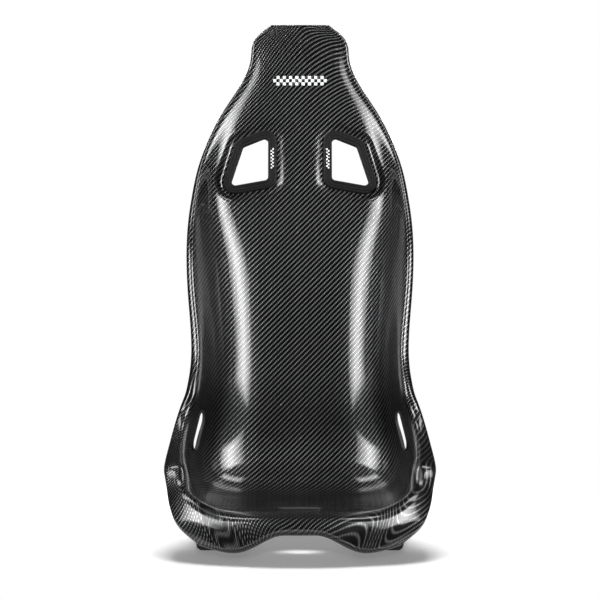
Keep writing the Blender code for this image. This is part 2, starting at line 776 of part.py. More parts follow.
def build():
    """Make every piece of the seat."""
    clear_scene()
    plastic = plastic_material()
    rubber = rubber_material()
    base = base_material()
    steel = steel_material()
    black = screw_material()
    aluminium = aluminium_material()
    shell = make_shell(carbon_material())
    bpy.context.view_layer.update()
    shell_tree = BVHTree.FromObject(shell, bpy.context.evaluated_depsgraph_get())
    for label, side in SIDES:
        bores = screw_cutter(label, side)
        cut(make_belt_frame(label, side, plastic), bores)
        cut(make_clamp_ring(label, side, plastic), bores)
        make_screws(label, side, black)
        make_lap_trim(label, side, rubber)
        bushes = bush_cutter(label, side)
        cut(make_runner(label, side, shell_tree, base), bushes)
        cut(make_strip(label, side, aluminium), bushes)
        for end, y in zip(("front", "rear"), BUSH_Y):
            make_bush(f"{label}_{end}_mount_bush", side, y, steel)
    make_crotch_trim(rubber)
    make_plate(shell_tree, aluminium)


build()
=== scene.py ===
"""Looks of the racing seat: a fine carbon shell, moulded belt frames, slot
trims, base runners and hardware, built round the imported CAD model."""

import math

import bmesh
import bpy
import numpy as np
from mathutils import Matrix, Vector


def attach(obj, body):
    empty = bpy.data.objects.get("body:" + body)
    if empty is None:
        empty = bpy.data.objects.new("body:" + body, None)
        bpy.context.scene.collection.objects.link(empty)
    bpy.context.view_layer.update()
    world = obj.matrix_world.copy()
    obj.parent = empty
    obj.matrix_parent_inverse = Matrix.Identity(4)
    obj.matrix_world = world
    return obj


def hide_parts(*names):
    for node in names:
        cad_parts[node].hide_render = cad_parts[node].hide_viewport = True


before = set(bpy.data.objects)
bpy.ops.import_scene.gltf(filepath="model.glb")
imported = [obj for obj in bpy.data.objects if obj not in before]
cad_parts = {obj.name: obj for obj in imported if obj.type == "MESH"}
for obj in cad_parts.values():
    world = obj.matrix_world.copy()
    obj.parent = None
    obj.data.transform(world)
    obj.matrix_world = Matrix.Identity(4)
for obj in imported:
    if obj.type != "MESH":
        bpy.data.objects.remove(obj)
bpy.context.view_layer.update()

MM = 0.001
SIDES = (("left", 1), ("right", -1))

# ------------------------------------------------------------------ shell
WALL = 3.0 * MM
# A station is a cross-section of the sitting face, in millimetres and degrees:
# the middle's y and z; the rim's half width, rise, tilt and sweep; the flat's
# half width; the bolster's foot, crest and shoulder, each as (across, rise);
# the rolled edge's radius; and the grid rows up to the next station.
STATIONS = (
    (-275, 62, 168, -29, 90, 30, 44, (96, -37), (128, -36), (152, -32), 16, 5),
    (-267, 74, 194, -22, 90, 36, 64, (122, -17), (152, -15), (178, -19), 16, 8),
    (-243, 80, 213, -4, 86, 34, 84, (136, 0), (172, 12), (198, 8), 17, 12),
    (-190, 76, 223, 28, 80, 20, 98, (166, 0), (188, 46), (210, 42), 20, 14),
    (-110, 67, 227, 84, 63, 0, 108, (186, 4), (188, 94), (209, 92), 26, 15),
    (-20, 62, 226, 128, 57, 0, 108, (193, 16), (194, 134), (209, 136), 26, 14),
    (58, 76, 214, 168, 56, 0, 108, (190, 30), (191, 160), (201, 174), 24, 13),
    (101, 128, 199, 172, 44, 0, 108, (178, 44), (181, 158), (188, 174), 20, 13),
    (123, 210, 189, 149, 28, 0, 102, (164, 50), (175, 130), (182, 149), 16, 12),
    (143, 300, 182, 125, 16, 0, 98, (154, 46), (173, 106), (179, 124), 14, 12),
    (165, 400, 192, 113, 13, 0, 98, (154, 40), (179, 94), (188, 112), 11, 12),
    (189, 500, 197, 97, 13, 0, 104, (160, 30), (185, 80), (194, 96), 10, 14),
    (211, 590, 193, 64, 12, 0, 118, (166, 16), (184, 52), (191, 64), 10, 18),
    (225, 650, 185, 37, 11, 0, 120, (156, 8), (174, 28), (182, 37), 10, 18),
    (237, 705, 168, 22, 10, 0, 108, (138, 4), (154, 15), (164, 22), 9, 12),
    (249, 765, 139, 14, 9, 0, 88, (108, 3), (124, 9), (134, 14), 8, 9),
    (258, 820, 105, 9, 8, 0, 62, (80, 2), (92, 6), (100, 9), 7, 8),
    (264, 870, 88, 6, 7, 0, 52, (66, 1), (78, 4), (85, 6), 6, 6),
    (267, 906, 79, 3, 6, 0, 42, (56, 1), (68, 2), (74, 3), 6, 5),
    (269, 928, 53, 1, 5, 0, 26, (34, 0), (42, 0), (48, 1), 6, 0),
)
SPAN_COLUMNS = (24, 14, 18, 10)
HALF_COLUMNS = sum(SPAN_COLUMNS)
CREASE_RADIUS = 5.0 * MM
CREASE_TURN = math.radians(40)
ROLL_TURN = math.radians(92)
CREASE_STEPS = 4
ROLL_STEPS = 7
RIM_BLEND = 12 * MM          # stretch of rim over which the edge's direction is evened
RIM_NEIGHBOURS = 3           # rim points each side that set the edge's way on the cloth
CUT_DEPTH = 25 * MM

# ------------------------------------------------------------ belt hardware
BELT_CENTRE = (95.5 * MM, 232.6 * MM, 668.0 * MM)
BELT_RECLINE = math.radians(11.5)
POCKET_FLAT = 2.5 * MM
POCKET_WALL = 14.0 * MM
POCKET_REACH = 40 * MM
OUT_OF_REACH = 1.0           # a distance beyond every pocket's wall
HOLE_CORNERS = ((-35, 51), (-35, -32), (37, -45), (12, 32))
HOLE_RADIUS = 7 * MM
FRAME_BAND = 16.5 * MM
COLLAR_WALL = 2.0 * MM
COLLAR_DEPTH = WALL + 3.5 * MM
CORNER_STEPS = 10
SEAT_GAP = 0.3 * MM
# The belt frame's face from the hole outwards, as (grown by, height) in
# millimetres: inner land, groove, middle land, groove, outer land, round edge.
FRAME_FACE = (
    (0, 3.6), (0.3, 4.4), (1.0, 4.9), (2.0, 5.0), (4.9, 5.0),
    (5.2, 4.8), (5.5, 3.9), (6.4, 3.9), (6.7, 4.7), (7.0, 4.9),
    (10.2, 4.8), (10.5, 4.6), (10.8, 3.7), (11.7, 3.7), (12.0, 4.3), (12.3, 4.5),
    (13.8, 4.2), (15.0, 3.7), (15.9, 3.0), (16.4, 2.0))
FRAME_UNDERSIDE = 0.6
# The clamp ring's section, as (grown by, depth below its top) in millimetres,
# with the shallow groove in its back.
RING_SECTION = (
    (2.3, 2.0), (2.3, 0), (12.5, 0), (12.5, 1.4), (12.2, 2.0), (11.6, 2.35),
    (10.8, 2.4), (7.6, 2.4), (7.3, 1.9), (6.6, 1.9), (6.3, 2.4), (2.7, 2.4))

# ----------------------------------------------------------------- weave
TOW = 2.46 * MM              # width of one tow
TWILL_REPEAT = 4.0           # tows after which a 2x2 twill repeats
WARP_ABOVE = 1.5             # the warp lies on top in phases 0 and 1 of the four
WEFT_TINTS = 57.3            # keeps the tints of weft tows apart from the warp's
ROUND_ACROSS = 0.55          # powers that flatten a tow's top, across and along it
ROUND_ALONG = 0.45


def basis(origin, across, up, side):
    """A matrix whose columns are across, up and out, mirrored for side -1."""
    across = Vector(across).normalized()
    up = Vector(up).normalized()
    columns = [across, up, across.cross(up), Vector(origin)]
    rows = [[column[i] for column in columns] for i in range(3)]
    rows[0] = [side * value for value in rows[0]]
    return Matrix((*rows, (0, 0, 0, 1)))


# ------------------------------------------------------------ shell's face

def natural_spline(knots, values):
    """A natural cubic spline through rows of values."""
    count = len(knots)
    step = np.diff(knots)
    system = np.zeros((count, count))
    right = np.zeros_like(values)
    system[0, 0] = 1.0
    system[-1, -1] = 1.0
    for i in range(1, count - 1):
        system[i, i - 1] = step[i - 1]
        system[i, i] = 2 * (step[i - 1] + step[i])
        system[i, i + 1] = step[i]
        slope_after = (values[i + 1] - values[i]) / step[i]
        slope_before = (values[i] - values[i - 1]) / step[i - 1]
        right[i] = 6 * (slope_after - slope_before)
    bend = np.linalg.solve(system, right)

    def value(at):
        i = int(np.clip(np.searchsorted(knots, at) - 1, 0, count - 2))
        length = step[i]
        a = at - knots[i]
        b = knots[i + 1] - at
        curve = (bend[i] * b ** 3 + bend[i + 1] * a ** 3) / (6 * length)
        start = (values[i] / length - bend[i] * length / 6) * b
        end = (values[i + 1] / length - bend[i + 1] * length / 6) * a
        return curve + start + end

    return value


def bspline_weights(controls, at):
    """Weights of a clamped cubic B-spline's control points at some places."""
    spans = controls - 3
    samples = len(at)
    knots = np.concatenate(([0.0] * 3, np.arange(spans + 1), [spans] * 3))
    # the far end still belongs to the last span
    at = np.minimum(at, spans - 1e-9)
    weights = (at[:, None] >= knots[:-1]) & (at[:, None] < knots[1:])
    weights = weights.astype(float)
    for degree in range(1, 4):
        raised = np.zeros((samples, weights.shape[1] - 1))
        for j in range(raised.shape[1]):
            rise = knots[j + degree] - knots[j]
            fall = knots[j + degree + 1] - knots[j + 1]
            if rise > 0:
                raised[:, j] += (at - knots[j]) / rise * weights[:, j]
            if fall > 0:
                raised[:, j] += (knots[j + degree + 1] - at) / fall * weights[:, j + 1]
        weights = raised
    return weights


def station_spline():
    """The sections' numbers as a spline along the middle, and its knots."""
    table = [(*station[:7], *station[7], *station[8], *station[9], station[10])
             for station in STATIONS]
    table = np.array(table, float)
    steps = np.hypot(*np.diff(table[:, :2], axis=0).T)
    places = np.concatenate(([0.0], np.cumsum(steps)))
    return natural_spline(places, table), places


def section_points(section, weights):
    """Points of one section of the sitting face, from the middle to a rim."""
    y, z, half, rise, tilt, sweep, flat = section[:7]
    controls = np.array(((0, 0), (flat / 2, 0), (flat, 0), section[7:9],
                         section[9:11], section[11:13], (half, rise)))
    across, up = (weights @ controls).T
    lean = math.radians(tilt)
    back = y - up * math.cos(lean) + sweep * (across / half) ** 3
    return np.stack((across, back, z + up * math.sin(lean)), axis=1) * MM


def sitting_face():
    """Grid of points of the sitting face, and the roll radius of each row."""
    section_at, places = station_spline()
    rows = []
    for start, end, station in zip(places, places[1:], STATIONS):
        rows.extend(np.linspace(start, end, station[-1], endpoint=False))
    rows.append(places[-1])
    columns = [0.0]
    for span, count in enumerate(SPAN_COLUMNS):
        columns.extend(span + np.arange(1, count + 1) / count)
    weights = bspline_weights(7, np.array(columns))
    grid = np.zeros((len(rows), 2 * HALF_COLUMNS + 1, 3))
    rolls = np.zeros(len(rows))
    for i, place in enumerate(rows):
        section = section_at(place)
        points = section_points(section, weights)
        grid[i, HALF_COLUMNS:] = points
        grid[i, :HALF_COLUMNS] = points[:0:-1] * (-1, 1, 1)
        rolls[i] = section[-1] * MM
    return grid, rolls


def grid_normals(grid):
    """Unit normals of a grid of points, towards the sitter."""
    normals = np.cross(np.gradient(grid, axis=1), np.gradient(grid, axis=0))
    return normals / np.linalg.norm(normals, axis=2, keepdims=True)


def rim_order(rows, columns):
    """Grid places of the rim, counter-clockwise as the sitter's side sees it."""
    front = [(0, j) for j in range(columns)]
    right = [(i, columns - 1) for i in range(1, rows)]
    top = [(rows - 1, j) for j in range(columns - 2, -1, -1)]
    left = [(i, 0) for i in range(rows - 2, 0, -1)]
    return front + right + top + left


def rolled_edge(grid, rolls):
    """Rings of points round the rolled edge, with their distances from the rim."""
    order = rim_order(*grid.shape[:2])
    rim = np.array([grid[place] for place in order])
    normals = grid_normals(grid)
    normal = np.array([normals[place] for place in order])
    radius = np.array([rolls[place[0]] for place in order])
    length = np.linalg.norm(np.roll(rim, -1, axis=0) - rim, axis=1)
    place = np.concatenate(([0.0], np.cumsum(length)))
    apart = np.abs(place[:-1, None] - place[None, :-1])
    apart = np.minimum(apart, place[-1] - apart)
    blend = np.exp(-0.5 * (apart / RIM_BLEND) ** 2) * (length + np.roll(length, 1))
    blend /= blend.sum(axis=1, keepdims=True)
    along = np.roll(rim, -1, axis=0) - np.roll(rim, 1, axis=0)
    along /= np.linalg.norm(along, axis=1, keepdims=True)
    normal = blend @ normal
    normal /= np.linalg.norm(normal, axis=1, keepdims=True)
    outward = blend @ np.cross(along, normal)
    outward -= (outward * normal).sum(axis=1, keepdims=True) * normal
    outward /= np.linalg.norm(outward, axis=1, keepdims=True)
    rings = []
    turns = [CREASE_TURN * k / CREASE_STEPS for k in range(1, CREASE_STEPS + 1)]
    for turn in turns:
        reach = CREASE_RADIUS * math.sin(turn)
        depth = CREASE_RADIUS * (1 - math.cos(turn))
        rings.append((rim + reach * outward - depth * normal, CREASE_RADIUS * turn))
    for k in range(1, ROLL_STEPS + 1):
        turn = CREASE_TURN + (ROLL_TURN - CREASE_TURN) * k / ROLL_STEPS
        out = radius * (math.sin(turn) - math.sin(CREASE_TURN))
        back = radius * (math.cos(CREASE_TURN) - math.cos(turn))
        ring = rings[CREASE_STEPS - 1][0] + out[:, None] * outward - back[:, None] * normal
        rings.append((ring, CREASE_RADIUS * CREASE_TURN + radius * (turn - CREASE_TURN)))
    return rings


def rounded_outline(corners, radius, offset):
    """Outline of a convex polygon with round corners, grown by offset."""
    points = []
    count = len(corners)
    for k in range(count):
        here = Vector(corners[k])
        before = (Vector(corners[k - 1]) - here).normalized()
        after = (Vector(corners[(k + 1) % count]) - here).normalized()
        half = before.angle(after) / 2
        middle = here + (before + after).normalized() * radius / math.sin(half)
        start = math.atan2(before.x, -before.y)
        turn = math.pi - 2 * half
        for step in range(CORNER_STEPS + 1):
            angle = start + turn * step / CORNER_STEPS
            points.append(middle + (radius + offset) * Vector((math.cos(angle), math.sin(angle))))
    return points


def belt_outline(offset):
    """The shoulder-belt hole's outline, grown by offset."""
    corners = [(x * MM, y * MM) for x, y in HOLE_CORNERS]
    return rounded_outline(corners, HOLE_RADIUS, offset)


def belt_matrix(side):
    """Plane of a belt pocket's floor: across, up the back, towards the sitter."""
    up = (0, math.sin(BELT_RECLINE), math.cos(BELT_RECLINE))
    return basis(BELT_CENTRE, (1, 0, 0), up, side)


def outline_distance(points, outline):
    """Signed distance of flat points to a closed counter-clockwise outline."""
    nearest = np.full(len(points), np.inf)
    inside = np.ones(len(points), bool)
    for k in range(len(outline)):
        a = np.array(outline[k])
        edge = np.array(outline[(k + 1) % len(outline)]) - a
        reach = points - a
        share = np.clip(reach @ edge / (edge @ edge), 0, 1)
        nearest = np.minimum(nearest, np.linalg.norm(reach - share[:, None] * edge, axis=1))
        inside &= edge[0] * reach[:, 1] - edge[1] * reach[:, 0] >= 0
    return np.where(inside, -nearest, nearest)


def press_pockets(grid):
    """Press a flat-floored pocket into the face round each belt hole."""
    points = grid.reshape(-1, 3)
    for _, side in SIDES:
        place = np.array(belt_matrix(side))
        local = (points - place[:3, 3]) @ place[:3, :3]
        away = outline_distance(local[:, :2], belt_outline(FRAME_BAND))
        away[np.abs(local[:, 2]) > POCKET_REACH] = OUT_OF_REACH
        share = np.clip(1 - (away - POCKET_FLAT) / POCKET_WALL, 0, 1)
        share = share * share * (3 - 2 * share)
        points = points - (share * local[:, 2])[:, None] * place[:3, 2]
    return points.reshape(grid.shape)


def cloth_lengths(grid):
    """Lengths across and along the face, by which the cloth lies on it."""
    across = np.zeros(grid.shape[:2])
    steps = np.linalg.norm(np.diff(grid, axis=1), axis=2)
    across[:, 1:] = np.cumsum(steps, axis=1)
    across -= across[:, HALF_COLUMNS:HALF_COLUMNS + 1]
    along = np.zeros(grid.shape[:2])
    steps = np.linalg.norm(np.diff(grid, axis=0), axis=2)
    along[1:] = np.cumsum(steps, axis=0)
    middle = grid.shape[0] // 2
    along -= along[middle:middle + 1]
    return across, along


def shell_sheet():
    """The sitting face with its rolled edge as one sheet with a cloth map."""
    grid, rolls = sitting_face()
    rings = rolled_edge(grid, rolls)
    across, along = cloth_lengths(grid)
    grid = press_pockets(grid)
    rows, columns = grid.shape[:2]
    order = rim_order(rows, columns)
    rim = np.array([i * columns + j for i, j in order])
    points = [grid.reshape(-1, 3)]
    cloth = [np.stack((across, along), axis=2).reshape(-1, 2)]
    faces = []
    index = np.arange(rows * columns).reshape(rows, columns)
    quads = np.stack((index[:-1, :-1], index[:-1, 1:], index[1:, 1:], index[1:, :-1]), axis=2)
    faces.extend(quads.reshape(-1, 4).tolist())
    # the cloth runs on over the edge, straight out from the rim
    rim_cloth = cloth[0][rim]
    turned = (np.roll(rim_cloth, -RIM_NEIGHBOURS, axis=0)
              - np.roll(rim_cloth, RIM_NEIGHBOURS, axis=0))
    outward = np.stack((turned[:, 1], -turned[:, 0]), axis=1)
    outward /= np.linalg.norm(outward, axis=1, keepdims=True)
    inner = rim
    count = len(rim)
    for ring, distance in rings:
        start = sum(len(part) for part in points)
        outer = np.arange(start, start + count)
        points.append(ring)
        cloth.append(rim_cloth + outward * np.reshape(distance, (-1, 1)))
        for k in range(count):
            following = (k + 1) % count
            faces.append((inner[k], outer[k], outer[following], inner[following]))
        inner = outer
    return np.concatenate(points), faces, np.concatenate(cloth)


def add_prism(bm, outline, place, low, high):
    """Add a closed prism to a bmesh."""
    loops = [[bm.verts.new(place @ Vector((*point, height))) for point in outline]
             for height in (low, high)]
    faces = [bm.faces.new(loops[0]), bm.faces.new(loops[1])]
    for k in range(len(outline)):
        following = (k + 1) % len(outline)
        faces.append(bm.faces.new((loops[0][k], loops[0][following],
                                   loops[1][following], loops[1][k])))
    bmesh.ops.recalc_face_normals(bm, faces=faces)


# ---------------------------------------------------------------- materials

class Nodes:
    """Short calls for building one material's or world's node tree."""

    def __init__(self, tree):
        self.tree = tree

    def add(self, kind, **settings):
        node = self.tree.nodes.new(kind)
        for name, value in settings.items():
            setattr(node, name, value)
        return node

    def put(self, value, socket):
        if isinstance(value, bpy.types.NodeSocket):
            self.tree.links.new(value, socket)
        else:
            socket.default_value = value

    def math(self, operation, *values):
        node = self.add("ShaderNodeMath", operation=operation)
        for value, socket in zip(values, node.inputs):
            self.put(value, socket)
        return node.outputs[0]

    def blend(self, share, low, high):
        """low where share is 0 and high where it is 1, as a number."""
        node = self.add("ShaderNodeMix", data_type="FLOAT")
        for value, name in ((share, "Factor"), (low, "A"), (high, "B")):
            self.put(value, node.inputs[name])
        return node.outputs["Result"]

    def colour(self, share, low, high):
        """low where share is 0 and high where it is 1, as a colour."""
        node = self.add("ShaderNodeMix", data_type="RGBA")
        sockets = [socket for socket in node.inputs if socket.type == "RGBA"]
        self.put(share, node.inputs["Factor"])
        for value, socket in zip((low, high), sockets):
            self.put(value, socket)
        return [socket for socket in node.outputs if socket.type == "RGBA"][0]

    def noise(self, vector, scale, detail=2.0, roughness=0.5):
        node = self.add("ShaderNodeTexNoise")
        self.put(vector, node.inputs["Vector"])
        node.inputs["Scale"].default_value = scale
        node.inputs["Detail"].default_value = detail
        node.inputs["Roughness"].default_value = roughness
        return node.outputs["Fac"]

    def stretch(self, vector, scale):
        node = self.add("ShaderNodeMapping")
        self.put(vector, node.inputs["Vector"])
        node.inputs["Scale"].default_value = scale
        return node.outputs["Vector"]

    def bump(self, height, distance, strength):
        node = self.add("ShaderNodeBump")
        node.inputs["Strength"].default_value = strength
        node.inputs["Distance"].default_value = distance
        self.put(height, node.inputs["Height"])
        return node.outputs["Normal"]


def new_material(name):
    """A material, its node helper and its Principled shader."""
    made = bpy.data.materials.new(name)
    made.use_nodes = True
    return made, Nodes(made.node_tree), made.node_tree.nodes["Principled BSDF"]


def grey(value):
    """An opaque grey."""
    return (value, value, value, 1.0)


# the darkest cloth: painted shade between the tows, and also the random darkening of single tows
# and clouds
CLOTH_DARK = grey(0.0012)
# warp tows are coloured far brighter than weft tows: painted sheen standing in for the glint the
# fibres give by their direction
CLOTH_WEFT = grey(0.010)
CLOTH_WARP_SHEEN = (0.400, 0.404, 0.414, 1.0)
CLOTH_METAL = 0.85
CLOTH_ROUGH = (0.33, 0.10)   # the least, and what the tow's tint adds
VALLEY_SHADE_POWER = 5.0           # how sharply painted shade darkens the cloth beside a tow's top
TINT_SHARE = 0.30            # darkening by the single tow, and by a wide cloud
CLOUD_SHARE = 0.25
CLOUD_SCALE = 9.0
WEAVE_BUMP = (0.35 * MM, 0.9)    # distance and strength, as in the next one
LACQUER_BUMP = (0.05 * MM, 0.35)
LACQUER_NOISE = (140.0, 3.0)     # scale and detail
LACQUER_TRACE = 0.25         # share of the weave that shows in the lacquer
COAT_ROUGH = 0.09
COAT_IOR = 1.5
PRINT_WHITE = grey(0.80)
PRINT_FACING = -0.3          # printed only where the surface looks this far forward
# chequered strips: distance from X = 0, z, each from and to, and a cell's size
HEAD_STRIP = ((-3.0 * MM, 51 * MM), (817 * MM, 835 * MM), 6.0 * MM)
FRAME_STRIP = ((49.4 * MM, 55.8 * MM), (658.4 * MM, 696.8 * MM), 3.2 * MM)


def twill(nodes):
    """2x2 twill from the cloth map: share of warp on top, height and tow tint."""
    cloth = nodes.add("ShaderNodeUVMap", uv_map="cloth").outputs[0]
    split = nodes.add("ShaderNodeSeparateXYZ")
    nodes.put(cloth, split.inputs[0])
    u = nodes.math("DIVIDE", split.outputs["X"], TOW)
    v = nodes.math("DIVIDE", split.outputs["Y"], TOW)
    i = nodes.math("FLOOR", u)
    j = nodes.math("FLOOR", v)
    in_u = nodes.math("SUBTRACT", u, i)
    in_v = nodes.math("SUBTRACT", v, j)
    phase = nodes.math("FLOORED_MODULO", nodes.math("SUBTRACT", i, j), TWILL_REPEAT)
    warp = nodes.math("LESS_THAN", phase, WARP_ABOVE)
    # place across the tow on top, and along its float over two others
    across = nodes.blend(warp, in_v, in_u)
    warp_along = nodes.math("ADD", nodes.math("SUBTRACT", 1.0, phase), in_v)
    weft_along = nodes.math("ADD", nodes.math("SUBTRACT", phase, 2.0), in_u)
    along = nodes.math("MULTIPLY", nodes.blend(warp, weft_along, warp_along), 0.5)
    round_across = nodes.math("SINE", nodes.math("MULTIPLY", across, math.pi))
    round_along = nodes.math("SINE", nodes.math("MULTIPLY", along, math.pi))
    height = nodes.math("MULTIPLY", nodes.math("POWER", round_across, ROUND_ACROSS),
                        nodes.math("POWER", round_along, ROUND_ALONG))
    tow = nodes.blend(warp, nodes.math("ADD", j, WEFT_TINTS), i)
    tint = nodes.add("ShaderNodeTexWhiteNoise", noise_dimensions="1D")
    nodes.put(tow, tint.inputs["W"])
    return warp, height, tint.outputs["Value"]


def chequers(nodes, across, up, cell):
    """Share of white in a chequered strip on the front, mirrored in X = 0."""
    place = nodes.add("ShaderNodeNewGeometry")
    at = nodes.add("ShaderNodeSeparateXYZ")
    nodes.put(place.outputs["Position"], at.inputs[0])
    facing = nodes.add("ShaderNodeSeparateXYZ")
    nodes.put(place.outputs["Normal"], facing.inputs[0])
    beside = nodes.math("ABSOLUTE", at.outputs["X"])
    inside = nodes.math("LESS_THAN", facing.outputs["Y"], PRINT_FACING)
    for test in (nodes.math("GREATER_THAN", beside, across[0]),
                 nodes.math("LESS_THAN", beside, across[1]),
                 nodes.math("GREATER_THAN", at.outputs["Z"], up[0]),
                 nodes.math("LESS_THAN", at.outputs["Z"], up[1])):
        inside = nodes.math("MULTIPLY", inside, test)
    column, row = (
        nodes.math("FLOOR", nodes.math("DIVIDE", nodes.math("SUBTRACT", value, low), cell))
        for value, low in ((beside, across[0]), (at.outputs["Z"], up[0])))
    odd = nodes.math("FLOORED_MODULO", nodes.math("ADD", column, row), 2.0)
    return nodes.math("MULTIPLY", inside, odd)


def carbon_material():
    """Clear-coated 2x2 twill carbon with painted sheen on the warp tows, painted shade between
    the tows and a printed chequered strip.
    """
    made, nodes, shader = new_material("carbon_twill")
    warp, height, tint = twill(nodes)
    printed = chequers(nodes, *HEAD_STRIP)
    place = nodes.add("ShaderNodeTexCoord").outputs["Object"]
    # painted sheen: warp tows lighter than weft, for the fibres' directional glint
    cloth = nodes.colour(warp, CLOTH_WEFT, CLOTH_WARP_SHEEN)
    # painted shade in the crevices between tows, so that only a narrow top of each tow keeps its
    # colour
    valley_shade = nodes.math("POWER", height, VALLEY_SHADE_POWER)
    cloth = nodes.colour(valley_shade, CLOTH_DARK, cloth)
    darker = nodes.math("ADD", nodes.math("MULTIPLY", tint, TINT_SHARE),
                        nodes.math("MULTIPLY", nodes.noise(place, CLOUD_SCALE), CLOUD_SHARE))
    cloth = nodes.colour(darker, cloth, CLOTH_DARK)
    nodes.put(nodes.colour(printed, cloth, PRINT_WHITE), shader.inputs["Base Color"])
    metal = nodes.math("SUBTRACT", 1.0, printed)
    nodes.put(nodes.math("MULTIPLY", metal, CLOTH_METAL), shader.inputs["Metallic"])
    rough = nodes.math("ADD", CLOTH_ROUGH[0], nodes.math("MULTIPLY", tint, CLOTH_ROUGH[1]))
    nodes.put(rough, shader.inputs["Roughness"])
    nodes.put(nodes.bump(height, *WEAVE_BUMP), shader.inputs["Normal"])
    # the lacquer flows over the weave and keeps a trace of it
    lacquer = nodes.math("ADD", nodes.noise(place, *LACQUER_NOISE),
                         nodes.math("MULTIPLY", height, LACQUER_TRACE))
    nodes.put(nodes.bump(lacquer, *LACQUER_BUMP), shader.inputs["Coat Normal"])
    shader.inputs["Coat Weight"].default_value = 1.0
    shader.inputs["Coat Roughness"].default_value = COAT_ROUGH
    shader.inputs["Coat IOR"].default_value = COAT_IOR
    return made


# the mottling's scale and detail, and the grain's detail and roughness
MOTTLE_NOISE = (28.0, 4.0)
GRAIN_DETAIL = (3.0, 0.6)
GRAIN_STRENGTH = 0.8


def grained_material(name, dark, light, rough, grain, depth, metallic=0.0, stretch=None,
                     strip=None, shine=0.5):
    """A moulded, cast or rolled finish: mottled colour, roughness and fine grain."""
    made, nodes, shader = new_material(name)
    place = nodes.add("ShaderNodeTexCoord").outputs["Object"]
    if stretch is not None:
        place = nodes.stretch(place, stretch)
    cloud = nodes.noise(place, *MOTTLE_NOISE)
    fine = nodes.noise(place, grain, *GRAIN_DETAIL)
    colour = nodes.colour(cloud, dark, light)
    if strip is not None:
        colour = nodes.colour(chequers(nodes, *strip), colour, PRINT_WHITE)
    nodes.put(colour, shader.inputs["Base Color"])
    spread = nodes.math("MULTIPLY", nodes.math("ADD", cloud, fine), 0.5)
    nodes.put(nodes.blend(spread, rough[0], rough[1]), shader.inputs["Roughness"])
    nodes.put(nodes.bump(fine, depth, GRAIN_STRENGTH), shader.inputs["Normal"])
    shader.inputs["Metallic"].default_value = metallic
    shader.inputs["Specular IOR Level"].default_value = shine
    return made


# --------------------------------------------------------------- fine pieces

# angle in degrees from which an edge stays sharp, for each slot
SHARP_FROM = {"carbon": 40, "frame_plastic": 50, "trim_rubber": 60}


def new_piece(name, mesh, finish, node, slot):
    """A visible piece that stands for one CAD node."""
    mesh.shade_smooth()
    mesh.set_sharp_from_angle(angle=math.radians(SHARP_FROM[slot]))
    mesh.materials.clear()
    mesh.materials.append(finish)
    made = bpy.data.objects.new(name, mesh)
    bpy.context.scene.collection.objects.link(made)
    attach(made, "root")
    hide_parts(node)


def swept_mesh(name, outline_at, section, place):
    """A closed section carried round an outline, one ring for each of its points."""
    bm = bmesh.new()
    loops = [[bm.verts.new(place @ Vector((x, y, height))) for x, y in outline_at(offset)]
             for offset, height in section]
    count = len(loops[0])
    for low, high in zip(loops, loops[1:] + loops[:1]):
        for k in range(count):
            following = (k + 1) % count
            bm.faces.new((low[k], low[following], high[following], high[k]))
    bmesh.ops.recalc_face_normals(bm, faces=bm.faces)
    mesh = bpy.data.meshes.new(name)
    bm.to_mesh(mesh)
    bm.free()
    return mesh


LAP_MIDDLE = (184.0 * MM, 15 * MM, 186 * MM)
LAP_FLARE = math.radians(16)
LAP_RISE = math.radians(5.6)
LAP_SLANT = math.radians(62)
LAP_LENGTH = 74 * MM
LAP_WIDTH = 34 * MM
CROTCH_MIDDLE = (0.0, -135 * MM, 69.6 * MM)
CROTCH_DIP = math.radians(-6.0)
CROTCH_LENGTH = 64 * MM
CROTCH_WIDTH = 28 * MM
TRIM_WALL = 1.8 * MM
TRIM_PROUD = 1.0 * MM
TRIM_LIP = 6.0 * MM
LIP_UNDERSIDE = 0.9          # millimetres of the crotch trim's lip above its plane
ROUND_END = 0.98             # a slot end's radius as a share of half its width


def lap_matrix(side):
    """Plane of a lap slot: along it, across it, and out of the seat's side."""
    rearward = Vector((-math.sin(LAP_FLARE), math.cos(LAP_FLARE), 0))
    sideways = Vector((math.cos(LAP_FLARE), math.sin(LAP_FLARE), 0))
    upward = Vector((0, 0, 1))
    out = math.cos(LAP_RISE) * sideways + math.sin(LAP_RISE) * upward
    climb = math.cos(LAP_RISE) * upward - math.sin(LAP_RISE) * sideways
    along = math.cos(LAP_SLANT) * rearward + math.sin(LAP_SLANT) * climb
    return basis(LAP_MIDDLE, along, out.cross(along), side)


def crotch_matrix():
    """Plane of the crotch slot: along X, rearward, up out of the pan."""
    rearward = (0, math.cos(CROTCH_DIP), math.sin(CROTCH_DIP))
    return basis(CROTCH_MIDDLE, (1, 0, 0), rearward, 1)


def slot_outline(length, width, offset):
    """A slot with round ends, grown by offset."""
    a, b = length / 2, width / 2
    corners = ((-a, b), (-a, -b), (a, -b), (a, b))
    return rounded_outline(corners, b * ROUND_END, offset)


def lap_outline(offset):
    """A lap slot's outline, grown by offset."""
    return slot_outline(LAP_LENGTH, LAP_WIDTH, offset)


def crotch_outline(offset):
    """The crotch slot's outline, grown by offset."""
    return slot_outline(CROTCH_LENGTH, CROTCH_WIDTH, offset)


def shell_holes():
    """Everything that is cut through the laminate, as one cutter."""
    bm = bmesh.new()
    for _, side in SIDES:
        add_prism(bm, belt_outline(COLLAR_WALL + SEAT_GAP), belt_matrix(side),
                  -CUT_DEPTH, CUT_DEPTH)
        add_prism(bm, lap_outline(SEAT_GAP), lap_matrix(side), -CUT_DEPTH, CUT_DEPTH)
    add_prism(bm, crotch_outline(SEAT_GAP), crotch_matrix(), -CUT_DEPTH, CUT_DEPTH)
    mesh = bpy.data.meshes.new("holes")
    bm.to_mesh(mesh)
    bm.free()
    return bpy.data.objects.new("holes", mesh)


